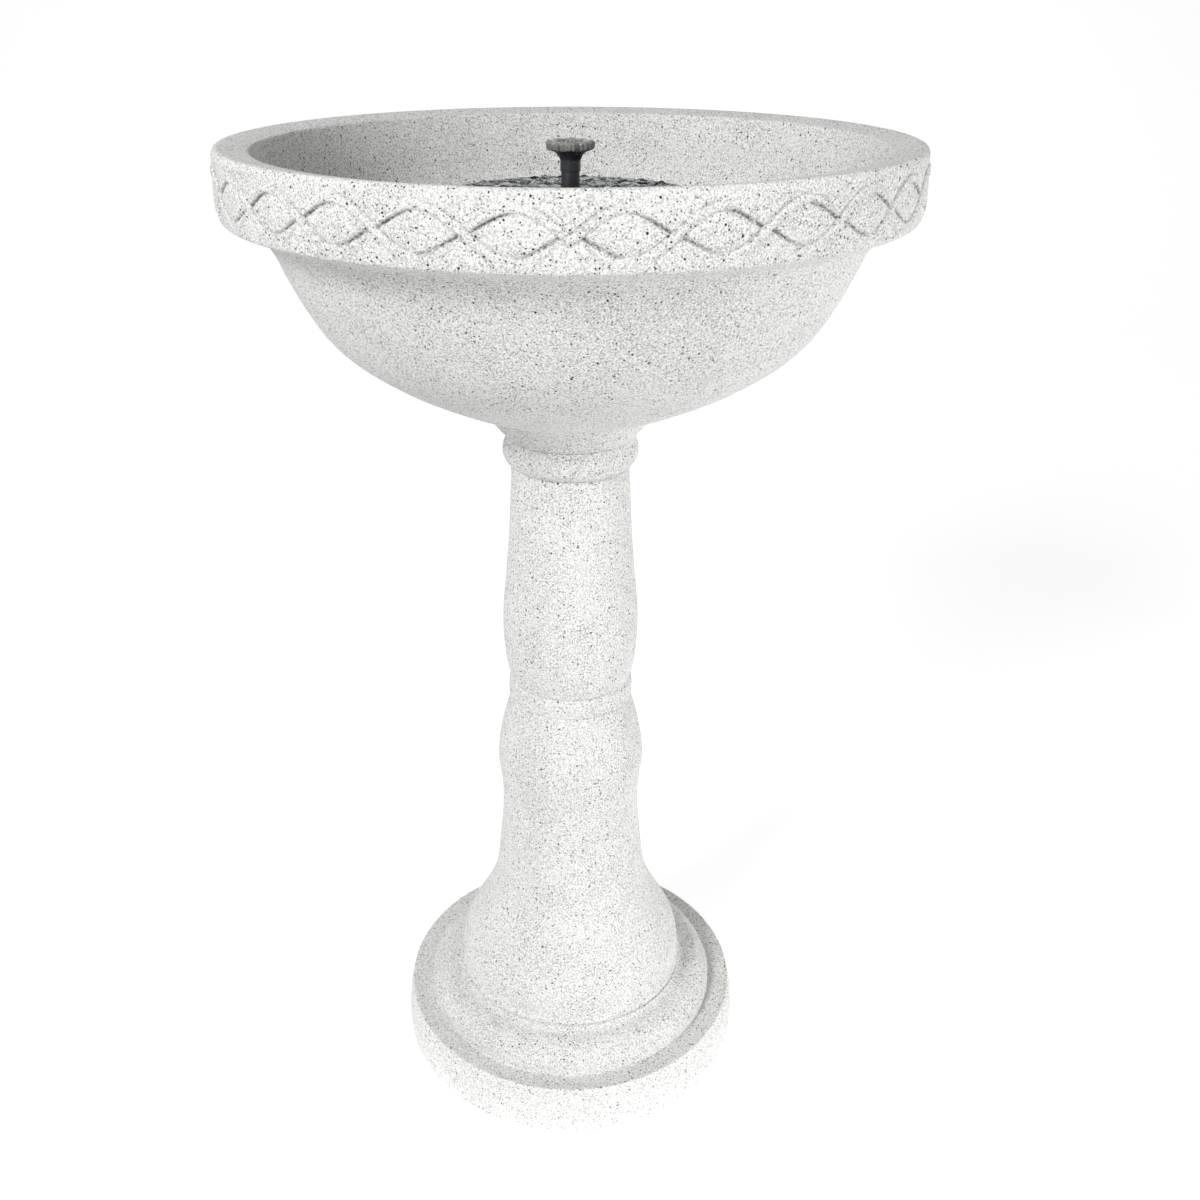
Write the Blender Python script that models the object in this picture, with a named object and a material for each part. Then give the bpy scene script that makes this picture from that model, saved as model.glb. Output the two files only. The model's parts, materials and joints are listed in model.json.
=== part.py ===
"""Pedestal bird bath with a solar fountain, in cast stone.

Four stone castings (plinth, two column drums and a bowl) stand on one axis, held
by a tie rod. A solar pump module stands in the bowl: a round panel on a slotted
cage, with a pump under it and a riser and spray head above it.

Metres, +Z up. The origin is the centre of the footprint, on the ground; the front
looks along -Y. Every turned piece is about the Z axis unless it says otherwise.
"""

import math

import bmesh
import bpy
from mathutils import Matrix, Vector

# Driving dimensions
HEIGHT = 0.7827          # ground to the top of the rim
RIM_R = 0.2365           # outside of the bowl's rim
RIM_WIDTH = 0.0243       # flat top of the rim
BAND_HEIGHT = 0.0475     # decorated band round the rim
PLINTH_R = 0.1515
PLINTH_STEP = 0.0430     # height of the plinth's ledge
FOOT_Z = 0.0700          # seat of the column on the plinth
FOOT_R = 0.1000          # column's foot, outside
BELLY_R = 0.0613         # lower drum at its fullest
WAIST_Z = 0.3663         # joint between the two drums
WAIST_R = 0.0497
SWELL_R = 0.0544         # upper drum at its fullest
COLLAR_R = 0.0516        # bead under the bowl
NECK_Z = 0.5730          # seat of the bowl on the column
NECK_R = 0.0493

GAP = 0.0003             # clearance between pieces that touch
ROD_R = 0.0040           # M8 tie rod
ROD_BORE_R = 0.0055
SPIGOT_DEPTH = 0.0120    # locating spigots between the castings
SPIGOT_R = 0.0250
SOCKET_R = 0.0315        # twist lock between column and bowl
LUG_R = 0.0370
LUG_ANGLE = 30.0         # degrees
LOCK_TURN = 40.0         # degrees from locked to free

PAD_R = 0.0200           # rubber pads under the plinth
PAD_RING_R = 0.1150
PAD_PROUD = 0.0010

PANEL_R = 0.0900         # solar pump module
PANEL_TOP = 0.7455
RISER_R = 0.00635
HEAD_R = 0.0155
HEAD_TOP = 0.7808
CAGE_TOP_R = 0.0590
CAGE_BASE_R = 0.0650
CAGE_WALL = 0.0036
PUMP_X = -0.0125         # pump's axis, which runs along Y
PUMP_Z = 0.6960
MOTOR_R = 0.0200
VOLUTE_R = 0.0185

STONE_SIDES = 32         # facets round the large castings
COLUMN_SIDES = 24
PANEL_SIDES = 32
SMALL_SIDES = 16


def clear_scene():
    for old in list(bpy.data.objects):
        bpy.data.objects.remove(old, do_unlink=True)


def material(name, colour, roughness, metallic=0.0, alpha=1.0):
    made = bpy.data.materials.new(name)
    made.use_nodes = True
    shader = made.node_tree.nodes["Principled BSDF"]
    shader.inputs["Base Color"].default_value = (*colour, 1.0)
    shader.inputs["Roughness"].default_value = roughness
    shader.inputs["Metallic"].default_value = metallic
    shader.inputs["Alpha"].default_value = alpha
    made.diffuse_color = (*colour, alpha)
    return made


def empty(name, place, turn=(0.0, 0.0, 0.0), parent=None):
    made = bpy.data.objects.new(name, None)
    made.location = place
    made.rotation_euler = turn
    made.parent = parent
    bpy.context.scene.collection.objects.link(made)
    return made


def add(name, bm, finish=None, parent=None, smooth=35.0):
    """An object from a bmesh. Without a finish it is a cutter or a piece to join."""
    bmesh.ops.remove_doubles(bm, verts=bm.verts, dist=1e-7)
    bmesh.ops.recalc_face_normals(bm, faces=bm.faces)
    mesh = bpy.data.meshes.new(name)
    bm.to_mesh(mesh)
    bm.free()
    made = bpy.data.objects.new(name, mesh)
    made.parent = parent
    bpy.context.scene.collection.objects.link(made)
    if finish is None:
        made.hide_render = True
        made.display_type = "WIRE"
    else:
        mesh.materials.append(finish)
        mesh.shade_smooth()
        mesh.set_sharp_from_angle(angle=math.radians(smooth))
    return made


def boolean(target, other, operation="DIFFERENCE"):
    step = target.modifiers.new(other.name, "BOOLEAN")
    step.object = other
    step.operation = operation
    step.solver = "EXACT"


def turned(outline, sides=SMALL_SIDES, closed=True):
    """Spins an outline of (radius, height) points about Z.

    A closed outline makes a ring. An open one starts and ends on the axis.
    """
    bm = bmesh.new()
    points = [bm.verts.new((r, 0.0, z)) for r, z in outline]
    pairs = list(zip(points, points[1:]))
    if closed:
        pairs.append((points[-1], points[0]))
    edges = [bm.edges.new(pair) for pair in pairs]
    bmesh.ops.spin(
        bm, geom=points + edges, cent=(0, 0, 0), axis=(0, 0, 1),
        angle=math.tau, steps=sides, use_merge=True,
    )
    bmesh.ops.remove_doubles(bm, verts=bm.verts, dist=1e-7)
    return bm


def ring(r_in, r_out, low, high, chamfer=0.0, sides=SMALL_SIDES):
    c = chamfer
    outline = [(r_in, low), (r_out - c, low)]
    if c:
        outline += [(r_out, low + c), (r_out, high - c)]
    else:
        outline += [(r_out, low)]
    outline += [(r_out - c, high), (r_in, high)]
    return turned(outline, sides)


def disc(radius, low, high, chamfer=0.0, sides=SMALL_SIDES):
    c = chamfer
    outline = [(0, low), (radius - c, low)]
    if c:
        outline += [(radius, low + c), (radius, high - c)]
    else:
        outline += [(radius, low)]
    outline += [(radius - c, high), (0, high)]
    return turned(outline, sides, closed=False)


def box(low, high, bevel=0.0):
    bm = bmesh.new()
    size = Vector(high) - Vector(low)
    centre = (Vector(high) + Vector(low)) / 2
    place = Matrix.Translation(centre) @ Matrix.Diagonal((*size, 1.0))
    bmesh.ops.create_cube(bm, size=1.0, matrix=place)
    if bevel:
        bmesh.ops.bevel(
            bm, geom=list(bm.edges), offset=bevel, segments=2, profile=0.5, affect="EDGES"
        )
    return bm


def rod(start, end, radius, sides=SMALL_SIDES):
    """A solid cylinder between two points."""
    a = Vector(start)
    run = Vector(end) - a
    place = Matrix.Translation(a + run / 2) @ run.to_track_quat("Z", "Y").to_matrix().to_4x4()
    bm = bmesh.new()
    bmesh.ops.create_cone(
        bm, cap_ends=True, segments=sides, radius1=radius, radius2=radius,
        depth=run.length, matrix=place,
    )
    return bm


def sectors(r_in, r_out, low, high, middle, width, count=3, steps=5):
    """Equal arc-shaped blocks round Z: the lugs and slots of a twist lock. Degrees."""
    bm = bmesh.new()
    for i in range(count):
        centre = math.radians(middle + 360.0 * i / count)
        half = math.radians(width) / 2
        angles = [centre - half + 2 * half * s / steps for s in range(steps + 1)]
        outer = [(r_out * math.cos(a), r_out * math.sin(a), low) for a in angles]
        inner = [(r_in * math.cos(a), r_in * math.sin(a), low) for a in reversed(angles)]
        face = bm.faces.new([bm.verts.new(p) for p in outer + inner])
        grown = bmesh.ops.extrude_face_region(bm, geom=[face])
        top = [v for v in grown["geom"] if isinstance(v, bmesh.types.BMVert)]
        bmesh.ops.translate(bm, verts=top, vec=(0, 0, high - low))
    return bm


def arc(centre, radius, start, end, steps):
    """Points on a circle in the (radius, height) plane, from one angle to another."""
    found = []
    for i in range(steps + 1):
        angle = math.radians(start + (end - start) * i / steps)
        found.append((centre[0] + radius * math.cos(angle), centre[1] + radius * math.sin(angle)))
    return found


# Bowl

BOWL_MOUTH_R = 0.2060     # superellipse of the inside
BOWL_MOUTH_Z = HEIGHT - 0.0047
BOWL_FLOOR_Z = 0.6200
BOWL_POWER = 2.1


def bowl_inside(angle):
    """A point of the bowl's inner wall: 0 degrees is the mouth and 90 the floor's centre."""
    a = math.radians(angle)
    r = BOWL_MOUTH_R * max(math.cos(a), 0.0) ** (2 / BOWL_POWER)
    drop = (BOWL_MOUTH_Z - BOWL_FLOOR_Z) * max(math.sin(a), 0.0) ** (2 / BOWL_POWER)
    return r, BOWL_MOUTH_Z - drop


def bowl_floor_at(radius):
    part = (radius / BOWL_MOUTH_R) ** BOWL_POWER
    return BOWL_MOUTH_Z - (BOWL_MOUTH_Z - BOWL_FLOOR_Z) * (1 - part) ** (1 / BOWL_POWER)


def bowl(stone):
    stub_low = NECK_Z - SPIGOT_DEPTH - 0.0040
    band_low = HEIGHT - BAND_HEIGHT
    foot = [
        (NECK_R + 0.0007, NECK_Z + 0.0030), (NECK_R + 0.0026, NECK_Z + 0.0065),
        (NECK_R + 0.0062, NECK_Z + 0.0102), (0.0660, 0.5930), (0.0910, 0.6046),
    ]
    under = [
        (0.1080, 0.6117), (0.1264, 0.6212), (0.1416, 0.6306), (0.1560, 0.6408), (0.1678, 0.6514),
        (0.1774, 0.6630), (0.1858, 0.6770), (0.1930, 0.6910), (0.1988, 0.7038), (0.2030, 0.7140),
        (0.2082, 0.7230), (0.2150, 0.7296),
    ]
    outline = [(0, stub_low), (SOCKET_R - GAP, stub_low), (SOCKET_R - GAP, NECK_Z), (NECK_R, NECK_Z)]
    outline += foot + under
    outline += [(0.2200, 0.7324)]
    outline += arc((RIM_R - 0.0085, band_low + 0.0035), 0.0055, -75, -15, 2)
    outline += arc((RIM_R - 0.0050, HEIGHT - 0.0050), 0.0050, 0, 80, 3)
    outline += [(RIM_R - RIM_WIDTH + 0.0040, HEIGHT - 0.0028)]
    outline += [(RIM_R - RIM_WIDTH, HEIGHT - 0.0042)]
    outline += [bowl_inside(angle) for angle in (2, 10, 20, 30, 40, 50, 60, 70, 80, 90)]
    made = add("bowl", turned(outline, STONE_SIDES, closed=False), stone, smooth=40)
    lugs = add("bowl_lugs", sectors(
        SOCKET_R - 0.0030, LUG_R - GAP, stub_low, stub_low + 0.0055, 0.0, LUG_ANGLE))
    boolean(made, lugs, "UNION")
    return made


# Pedestal

def upper_column(stone):
    shaft = [
        (WAIST_R - 0.0006, WAIST_Z), (WAIST_R + 0.0005, WAIST_Z + 0.0062), (SWELL_R - 0.0021, WAIST_Z + 0.0150),
        (SWELL_R - 0.0004, WAIST_Z + 0.0320), (SWELL_R, WAIST_Z + 0.0460),
        (SWELL_R - 0.0008, WAIST_Z + 0.0680), (SWELL_R - 0.0036, WAIST_Z + 0.0940),
        (SWELL_R - 0.0064, WAIST_Z + 0.1290), (SWELL_R - 0.0082, WAIST_Z + 0.1620),
        (SWELL_R - 0.0092, WAIST_Z + 0.1790),
    ]
    collar = arc((COLLAR_R - 0.0125, 0.5606), 0.0125, -66, 66, 5)
    top = NECK_Z - GAP
    groove = NECK_Z - SPIGOT_DEPTH + 0.0021
    floor = NECK_Z - 0.0200
    outline = shaft + [(COLLAR_R - 0.0070, 0.5484)] + collar
    outline += [(NECK_R, top), (0.0460, top), (0.0460, top - 0.0020), (0.0350, top - 0.0020)]
    outline += [(0.0350, top), (SOCKET_R, top), (SOCKET_R, groove), (LUG_R + GAP, groove)]
    outline += [(LUG_R + GAP, floor + 0.0020), (SOCKET_R, floor + 0.0020), (SOCKET_R, floor)]
    outline += [(0.0160, floor), (0.0160, floor - 0.0180), (ROD_BORE_R, floor - 0.0180)]
    outline += [(ROD_BORE_R, WAIST_Z + SPIGOT_DEPTH + GAP)]
    outline += [(SPIGOT_R + GAP, WAIST_Z + SPIGOT_DEPTH + GAP), (SPIGOT_R + GAP, WAIST_Z)]
    made = add("upper_column", turned(outline, COLUMN_SIDES), stone, smooth=40)
    entries = add("lock_entries", sectors(
        SOCKET_R - 0.0010, LUG_R + GAP, groove - 0.0010, NECK_Z + 0.0010, LOCK_TURN, LUG_ANGLE + 8))
    boolean(made, entries)
    return made


def lower_column(stone):
    flare = [
        (FOOT_R - 0.0019, FOOT_Z + 0.0062), (FOOT_R - 0.0022, FOOT_Z + 0.0190),
        (FOOT_R - 0.0056, FOOT_Z + 0.0350), (FOOT_R - 0.0153, FOOT_Z + 0.0540),
        (FOOT_R - 0.0256, FOOT_Z + 0.0740), (FOOT_R - 0.0333, FOOT_Z + 0.0960),
        (FOOT_R - 0.0363, FOOT_Z + 0.1130), (BELLY_R - 0.0004, 0.2090), (BELLY_R - 0.0027, 0.2300),
        (BELLY_R - 0.0031, 0.2520), (BELLY_R - 0.0018, 0.2710), (BELLY_R, 0.2860),
        (BELLY_R - 0.0010, 0.3020), (BELLY_R - 0.0045, 0.3225), (BELLY_R - 0.0100, 0.3420),
        (WAIST_R - 0.0006, 0.3490),
    ]
    bead = arc((FOOT_R - 0.0030, FOOT_Z + 0.0030 + GAP), 0.0030, -90, 45, 3)
    low = FOOT_Z + GAP
    high = WAIST_Z - GAP
    outline = [(0.0400, low), *bead, *flare]
    outline += [(WAIST_R + 0.0008, 0.3515), (WAIST_R + 0.0008, 0.3600), (WAIST_R - 0.0010, high)]
    outline += [(SPIGOT_R, high), (SPIGOT_R, WAIST_Z + SPIGOT_DEPTH), (ROD_BORE_R, WAIST_Z + SPIGOT_DEPTH)]
    outline += [(ROD_BORE_R, FOOT_Z - SPIGOT_DEPTH), (0.0400, FOOT_Z - SPIGOT_DEPTH)]
    return add("lower_column", turned(outline, COLUMN_SIDES), stone, smooth=40)


def plinth(stone):
    low = PAD_PROUD
    recess_r = 0.0300
    recess_z = 0.0220
    seat = FOOT_Z - SPIGOT_DEPTH - GAP
    outline = [(recess_r, low), (PLINTH_R - 0.0015, low), (PLINTH_R, low + 0.0015)]
    outline += [(PLINTH_R, 0.0180), (PLINTH_R - 0.0014, 0.0340)]
    outline += [(PLINTH_R - 0.0045, PLINTH_STEP + 0.0038), (0.1290, PLINTH_STEP)]
    outline += [(0.1285, PLINTH_STEP + 0.0010)]
    outline += arc((0.1110, 0.0480), 0.0175, 5, 82, 4)
    outline += [(0.1090, 0.0657), (0.1050, 0.0660), (0.1028, 0.0672), (0.1015, FOOT_Z)]
    outline += [(0.0403, FOOT_Z), (0.0403, seat), (ROD_BORE_R, seat)]
    outline += [(ROD_BORE_R, recess_z), (recess_r, recess_z)]
    made = add("plinth", turned(outline, STONE_SIDES), stone, smooth=40)
    for i, place in enumerate(pad_places(), 1):
        pocket = add(f"pad_pocket_{i}", disc(PAD_R + GAP, -0.0020, 0.0030 + GAP))
        pocket.location = (*place, 0.0)
        boolean(made, pocket)
    return made


def pad_places():
    angles = [math.radians(90 + 120 * i) for i in range(3)]
    return [(PAD_RING_R * math.cos(a), PAD_RING_R * math.sin(a)) for a in angles]


def pads(rubber):
    for i, place in enumerate(pad_places(), 1):
        made = add(f"plinth_pad_{i}", disc(PAD_R, 0.0, 0.0030, 0.0004), rubber)
        made.location = (*place, 0.0)


def nut(name, low, high, steel):
    """A hexagon nut, 13 mm across flats, round the tie rod."""
    made = add(name, disc(0.0075, low, high, sides=6), steel, smooth=20)
    thread = rod((0, 0, low - 0.0010), (0, 0, high + 0.0010), ROD_R + GAP)
    boolean(made, add(f"{name}_thread", thread))


def tie_rod(steel):
    floor = NECK_Z - 0.0380
    add("tie_rod", disc(ROD_R, 0.0080, 0.5500, 0.0006, 16), steel)
    add("lower_washer", ring(ROD_R + GAP, 0.0150, 0.0194, 0.0217, 0.0003), steel)
    nut("lower_nut", 0.0125, 0.0190, steel)
    add("upper_washer", ring(ROD_R + GAP, 0.0150, floor + GAP, floor + 0.0023, 0.0003), steel)
    nut("upper_nut", floor + 0.0026, floor + 0.0091, steel)


def bowl_gasket(rubber):
    top = NECK_Z - GAP
    add("bowl_gasket", ring(0.0353, 0.0457, top - 0.0017, top, 0, PANEL_SIDES), rubber)


# Solar pump module

TRAY_LOW = PANEL_TOP - 0.0218
POCKET_Z = PANEL_TOP - 0.0050
BOSS_R = 0.0117
BORE_R = 0.0085
POST_RING_R = 0.0700
PUMP_SCREWS = ((-0.0260, 0.0), (0.0200, 0.0))


def post_places():
    angles = [math.radians(60 + 120 * i) for i in range(3)]
    return [(POST_RING_R * math.cos(a), POST_RING_R * math.sin(a)) for a in angles]


def panel(parent, plastic, clear, silicon):
    add("panel_cover", ring(BOSS_R + GAP, 0.0860, PANEL_TOP - 0.0025, PANEL_TOP, 0.0005, PANEL_SIDES),
        clear, parent)
    add("solar_cells", ring(BOSS_R + 2 * GAP, 0.0855, POCKET_Z + GAP, PANEL_TOP - 0.0028, 0, PANEL_SIDES),
        silicon, parent)
    plate_low = POCKET_Z - 0.0030
    wall_r = PANEL_R - 0.0030
    boss_low = TRAY_LOW + 0.0033
    outline = [(wall_r, TRAY_LOW), (PANEL_R - 0.0008, TRAY_LOW), (PANEL_R, TRAY_LOW + 0.0008)]
    outline += arc((PANEL_R - 0.0030, PANEL_TOP - 0.0035), 0.0030, 0, 90, 2)
    outline += [(0.0863, PANEL_TOP - 0.0005), (0.0863, POCKET_Z), (BOSS_R, POCKET_Z)]
    outline += [(BOSS_R, PANEL_TOP - 0.0005), (BORE_R, PANEL_TOP - 0.0005), (BORE_R, boss_low)]
    outline += [(BOSS_R, boss_low), (BOSS_R, plate_low), (wall_r, plate_low)]
    tray = add("panel_tray", turned(outline, PANEL_SIDES), plastic, parent)
    for i, (x, y) in enumerate(post_places(), 1):
        post = add(f"post_{i}", rod((x, y, boss_low), (x, y, plate_low + 0.0010), 0.0035, 12), None, parent)
        pilot = add(f"pilot_{i}", rod((x, y, boss_low - 0.001), (x, y, plate_low), 0.0014, 12), None, parent)
        boolean(tray, post, "UNION")
        boolean(tray, pilot)


def tray_base(parent, plastic):
    low = TRAY_LOW
    high = TRAY_LOW + 0.0030
    collar = (0.0515, 0.0540)
    outline = [(BORE_R, low), (collar[0], low), (collar[0], low - 0.0080), (collar[1], low - 0.0080)]
    outline += [(collar[1], low), (PANEL_R - 0.0033, low), (PANEL_R - 0.0033, high), (BORE_R, high)]
    base = add("tray_base", turned(outline, PANEL_SIDES), plastic, parent)
    lug = sectors(collar[1] - 0.0010, 0.0552, low - 0.0078, low - 0.0050, 0, 20)
    lugs = add("base_lugs", lug, None, parent)
    boolean(base, lugs, "UNION")
    for i, (x, y) in enumerate(post_places(), 1):
        hole = add(f"base_hole_{i}", rod((x, y, low - 0.001), (x, y, high + 0.001), 0.0016, 12), None, parent)
        boolean(base, hole)
    for i, (x, y) in enumerate(PUMP_SCREWS, 1):
        post = rod((x, y, high - 0.001), (x, y, high + 0.0060), 0.0035, 12)
        boss = add(f"base_boss_{i}", post, None, parent)
        drill = rod((x, y, low - 0.001), (x, y, high + 0.0070), 0.0015, 12)
        pilot = add(f"base_pilot_{i}", drill, None, parent)
        boolean(base, boss, "UNION")
        boolean(base, pilot)


def screw(name, place, head_z, length, parent, steel):
    """A pan-head screw that points up, with its head's top face at head_z."""
    outline = [(0, -0.0020), (0.0024, -0.0020), (0.0030, -0.0012), (0.0030, 0)]
    outline += [(0.0012, 0), (0.0012, length - 0.0012), (0, length)]
    made = add(name, turned(outline, 12, closed=False), steel, parent)
    made.location = (*place, head_z)


def screws(parent, steel):
    for i, place in enumerate(post_places(), 1):
        screw(f"tray_screw_{i}", place, TRAY_LOW - GAP, 0.0120, parent, steel)
    for i, place in enumerate(PUMP_SCREWS, 1):
        screw(f"pump_screw_{i}", place, TRAY_LOW - 0.0046, 0.0120, parent, steel)


def driver_board(parent, laminate):
    low = TRAY_LOW + 0.0033
    board = add("driver_board", box((0.0300, -0.0120, low), (0.0660, 0.0120, low + 0.0016)), laminate, parent)
    chips = [(0.0340, -0.0080, 0.0080, 0.0070, 0.0030), (0.0480, -0.0060, 0.0120, 0.0120, 0.0018)]
    for i, (x, y, wide, deep, tall) in enumerate(chips, 1):
        corner = (x, y, low + 0.0010)
        far = (x + wide, y + deep, low + 0.0016 + tall)
        boolean(board, add(f"chip_{i}", box(corner, far), None, parent), "UNION")


def strainer_cage(parent, plastic):
    top = TRAY_LOW - GAP
    low = BOWL_FLOOR_Z + 0.0105
    wall = CAGE_WALL
    outline = [(0.0480, low), (CAGE_BASE_R - 0.0008, low), (CAGE_BASE_R, low + 0.0008)]
    outline += [(CAGE_TOP_R, top - 0.0040), (CAGE_TOP_R, top), (CAGE_TOP_R - wall, top)]
    outline += [(CAGE_TOP_R - wall, top - 0.0080), (CAGE_BASE_R - wall, low + 0.0030), (0.0480, low + 0.0030)]
    cage = add("strainer_cage", turned(outline, 40), plastic, parent)
    slots = bmesh.new()
    for i in range(20):
        place = Matrix.Rotation(math.tau * i / 20, 4, "Z") @ Matrix.Translation(
            (0.0590, 0, low + 0.0430)) @ Matrix.Diagonal((0.0200, 0.0040, 0.0640, 1.0))
        bmesh.ops.create_cube(slots, size=1.0, matrix=place)
    boolean(cage, add("cage_slots", slots, None, parent))
    lugs = sectors(0.0543, CAGE_TOP_R - wall + 0.0010, top - 0.0044, top - 0.0020, 0, 20)
    boolean(cage, add("cage_lugs", lugs, None, parent), "UNION")


def cage_feet(parent, rubber):
    ring_r = 0.0560
    radius = 0.0050
    facets = 0.0009          # the floor's facets rise this much above its true curve
    low = bowl_floor_at(ring_r + radius) + facets + GAP
    for i in range(3):
        a = math.radians(90 + 120 * i)
        foot = disc(radius, 0, BOWL_FLOOR_Z + 0.0105 - GAP - low, 0.0006, 16)
        made = add(f"cage_foot_{i + 1}", foot, rubber, parent)
        made.location = (ring_r * math.cos(a), ring_r * math.sin(a), low)


def pump_body(parent, module, plastic):
    """Motor can and volute in one moulding, turned about the pump's axis."""
    outline = [(0, 0.0380), (0.0102, 0.0380), (0.0102, 0.0100), (0.0178, 0.0100), (0.0178, 0.0400)]
    outline += [(MOTOR_R, 0.0400), (MOTOR_R, 0.0070), (VOLUTE_R, 0.0070), (VOLUTE_R, -0.0080)]
    outline += [(0, -0.0080)]
    hollow = [(0, -0.0100), (0.0170, -0.0100), (0.0170, -0.0055), (0.0155, -0.0055), (0.0155, 0.0050)]
    hollow += [(0.0086, 0.0050), (0.0086, 0.0345), (0, 0.0345)]
    body = add("pump_body", turned(outline, 24, closed=False), plastic, parent)
    chamber = add("pump_chamber", turned(hollow, 24, closed=False), None, parent)
    flange_top = TRAY_LOW - GAP
    plate = box((-0.0310, -0.0100, flange_top - 0.0040), (0.0250, 0.0120, flange_top))
    flange = add("pump_flange", plate, None, module)
    web = box((-0.0180, 0.0085, PUMP_Z + 0.0190), (-0.0070, 0.0115, flange_top - 0.0010))
    rib = add("pump_rib", web, None, module)
    spout = rod((0, -0.0010, PUMP_Z + 0.0090), (0, -0.0010, TRAY_LOW + 0.0013), 0.0060, 16)
    outlet = add("pump_outlet", spout, None, module)
    neck = add("pump_neck", rod((0, 0, TRAY_LOW), (0, 0, TRAY_LOW + 0.0160), 0.0045, 16), None, module)
    way = rod((0, -0.0005, PUMP_Z + 0.0010), (0, 0, TRAY_LOW + 0.0170), 0.0034, 16)
    bore = add("pump_bore", way, None, module)
    for extra in (flange, rib, outlet, neck):
        boolean(body, extra, "UNION")
    boolean(body, chamber)
    boolean(body, bore)
    for i, (x, y) in enumerate(PUMP_SCREWS, 1):
        drill = rod((x, y, flange_top - 0.0050), (x, y, flange_top + 0.001), 0.0016, 12)
        hole = add(f"flange_hole_{i}", drill, None, module)
        boolean(body, hole)


def pump_inside(parent, rotor, plastic, steel, copper, magnet, ceramic, rubber):
    """Everything in the pump, turned about the pump's axis, front to back."""
    cover = turned([
        (0.0039, -0.0080), (0.0167, -0.0080), (0.0167, -0.0072), (0.0152, -0.0072), (0.0152, -0.0058),
        (0.0060, -0.0058), (0.0060, -0.0052), (0.0039, -0.0052),
    ], 24)
    cover = add("chamber_cover", cover, plastic, parent)
    for i in range(6):
        a = math.tau * i / 6
        x, y = 0.0105 * math.cos(a), 0.0105 * math.sin(a)
        inlet = add(f"inlet_{i}", rod((x, y, -0.0100), (x, y, -0.0040), 0.0028, 12), None, parent)
        boolean(cover, inlet)
    seal = arc((0.0161, -0.00635), 0.0006, 0, 300, 5)
    add("cover_seal", turned(seal, 24), rubber, parent)
    add("front_bush", ring(0.0018, 0.0036, -0.0078, -0.0052, 0, 12), rubber, parent)
    add("rear_bush", ring(0.0018, 0.0082, 0.0315, 0.0342, 0, 16), rubber, parent)
    add("rotor_shaft", disc(0.0015, -0.0074, 0.0340, 0, 12), ceramic, parent)
    wheel = add("impeller", turned([
        (0.0019, -0.0045), (0.0046, -0.0045), (0.0050, 0.0015), (0.0135, 0.0015), (0.0135, 0.0033),
        (0.0060, 0.0033), (0.0060, 0.0077), (0.0019, 0.0077),
    ], 16), plastic, rotor)
    for i in range(6):
        vane = box((0.0040, -0.0007, -0.0040), (0.0132, 0.0007, 0.0020))
        vane.transform(Matrix.Rotation(math.tau * i / 6, 4, "Z"))
        boolean(wheel, add(f"vane_{i}", vane, None, rotor), "UNION")
    add("rotor_magnet", ring(0.0019, 0.0082, 0.0080, 0.0310, 0.0004, 16), magnet, rotor)
    core = add("stator_core", ring(0.0150, 0.0175, 0.0140, 0.0320, 0, 24), steel, parent)
    for i in range(4):
        turn = Matrix.Rotation(math.tau * i / 4 + math.tau / 8, 4, "Z")
        tooth = box((0.0105, -0.0025, 0.0140), (0.0160, 0.0025, 0.0320))
        tooth.transform(turn)
        boolean(core, add(f"tooth_{i}", tooth, None, parent), "UNION")
        coil = box((0.0108, -0.0050, 0.0117), (0.0143, 0.0050, 0.0343), 0.0008)
        hole = box((0.0100, -0.0028, 0.0137), (0.0153, 0.0028, 0.0323))
        coil.transform(turn)
        hole.transform(turn)
        coil = add(f"coil_{i + 1}", coil, copper, parent)
        boolean(coil, add(f"coil_hole_{i}", hole, None, parent))
    add("pump_back_cap", turned([
        (0, 0.0383), (0.0175, 0.0383), (0.0175, 0.0403), (MOTOR_R, 0.0403), (MOTOR_R, 0.0415),
        (MOTOR_R - 0.0008, 0.0423), (0, 0.0423),
    ], 24, closed=False), plastic, parent)


def filter_sponge(module, foam):
    block = box((-0.0340, -0.0340, PUMP_Z - 0.0220), (0.0090, -0.0040, PUMP_Z + 0.0085), 0.0020)
    sponge = add("filter_sponge", block, foam, module)
    seat = rod((PUMP_X, -0.0088, PUMP_Z), (PUMP_X, 0, PUMP_Z), VOLUTE_R + GAP, 24)
    boolean(sponge, add("sponge_seat", seat, None, module))


def riser_tube(parent, plastic):
    add("riser_tube", ring(0.0048, RISER_R, TRAY_LOW + 0.0016, HEAD_TOP - 0.0105, 0.0003), plastic, parent)


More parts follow.
